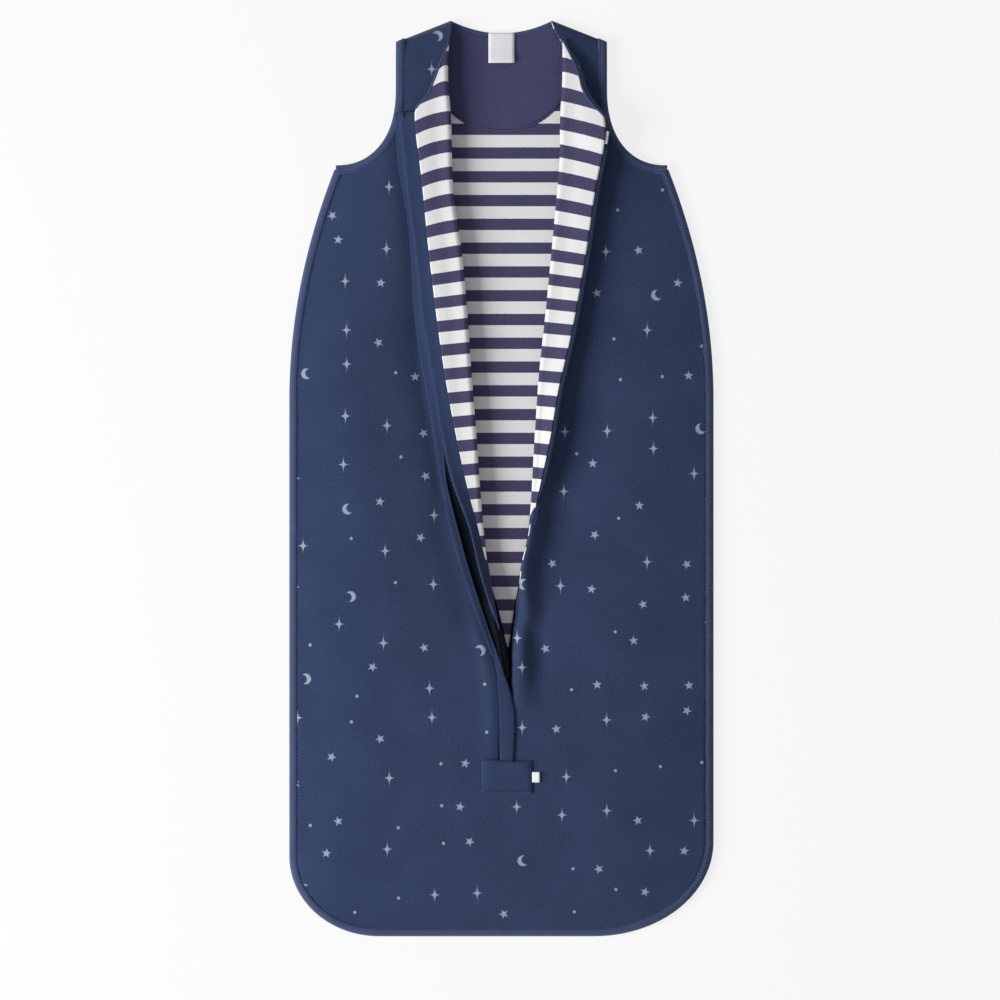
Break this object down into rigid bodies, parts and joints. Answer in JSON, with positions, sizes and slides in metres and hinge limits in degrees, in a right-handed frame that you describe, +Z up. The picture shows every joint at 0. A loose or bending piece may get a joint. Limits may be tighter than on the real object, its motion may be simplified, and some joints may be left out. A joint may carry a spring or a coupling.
{
  "type": "baby sleeping bag",
  "caption": "Sleeveless baby sleeping bag lying on its back, its long front zip open and both front edges turned back to show a striped lining",
  "frame": {"origin": "On the floor under the middle of the bag's outline", "axes": "+Z up from the back to the front of the bag, +Y from the hem to the neck, +X to the right seen from above"},
  "size_m": [0.408, 0.88, 0.0325],
  "materials": {
    "outer_cloth": "Brushed cotton jersey, navy with a small pale print",
    "striped_lining": "Knitted cotton, white and navy stripes",
    "facing_cloth": "Plain knitted cotton, purple navy",
    "trim_cloth": "Plain navy cotton binding",
    "zip_tape": "Woven polyester zip tape",
    "zip_teeth": "Moulded acetal teeth",
    "slider_metal": "Die cast zinc, pale grey enamel",
    "label_tape": "Woven satin ribbon, blank"
  },
  "bodies": {
    "body": {"back_outer": "outer_cloth", "back_lining": "striped_lining", "neck_facing": "facing_cloth", "back_neck_binding": "trim_cloth", "front_outer": "outer_cloth", "front_lining": "striped_lining", "edge_binding": "trim_cloth", "left_armhole_binding": "trim_cloth", "right_armhole_binding": "trim_cloth", "left_turned_edge": "striped_lining", "right_turned_edge": "striped_lining", "lower_left_zip_tape": "zip_tape", "lower_right_zip_tape": "zip_tape", "lower_left_zip_teeth": "zip_teeth", "lower_right_zip_teeth": "zip_teeth", "zip_bottom_stop": "zip_teeth", "zip_cover_strip": "trim_cloth", "zip_garage": "trim_cloth"},
    "left_flap": {"left_flap_outer": "outer_cloth", "left_flap_lining": "striped_lining", "left_zip_tape": "zip_tape", "left_zip_teeth": "zip_teeth", "left_top_stop": "zip_teeth", "zip_guard": "trim_cloth", "zip_cover_flap": "trim_cloth", "left_neck_binding": "trim_cloth"},
    "right_flap": {"right_flap_outer": "outer_cloth", "right_flap_lining": "striped_lining", "right_zip_tape": "zip_tape", "right_zip_teeth": "zip_teeth", "right_top_stop": "zip_teeth", "right_neck_binding": "trim_cloth"},
    "slider": {"zip_slider": "slider_metal"},
    "pull": {"slider_pull": "slider_metal"},
    "care_label": {"care_label": "label_tape"},
    "side_tag": {"side_tag": "label_tape"}
  },
  "joints": [
    {"name": "left_flap_fold", "type": "hinge", "parent": "body", "child": "left_flap", "pos_m": [0.0075, -0.286, 0.0169], "axis": [-0.0858, 0.9963, 0], "range_deg": [0, 177]},
    {"name": "right_flap_fold", "type": "hinge", "parent": "body", "child": "right_flap", "pos_m": [0.0075, -0.286, 0.0169], "axis": [-0.0758, -0.9971, 0], "range_deg": [0, 168]},
    {"name": "slider_travel", "type": "slide", "parent": "right_flap", "child": "slider", "axis": [-0.1494, -0.9886, -0.0158], "range_m": [0, 0.46]},
    {"name": "pull_swing", "type": "hinge", "parent": "slider", "child": "pull", "pos_m": [0.09893, 0.33042, 0.02625], "axis": [-0.9668, 0.1494, -0.2073], "range_deg": [0, 12]},
    {"name": "care_label_lift", "type": "hinge", "parent": "body", "child": "care_label", "pos_m": [0, 0.428, 0.00455], "axis": [-1, 0, 0], "range_deg": [0, 150]},
    {"name": "side_tag_lift", "type": "hinge", "parent": "body", "child": "side_tag", "pos_m": [0.0308, -0.286, 0.01595], "axis": [0, -1, 0], "range_deg": [0, 85]}
  ]
}
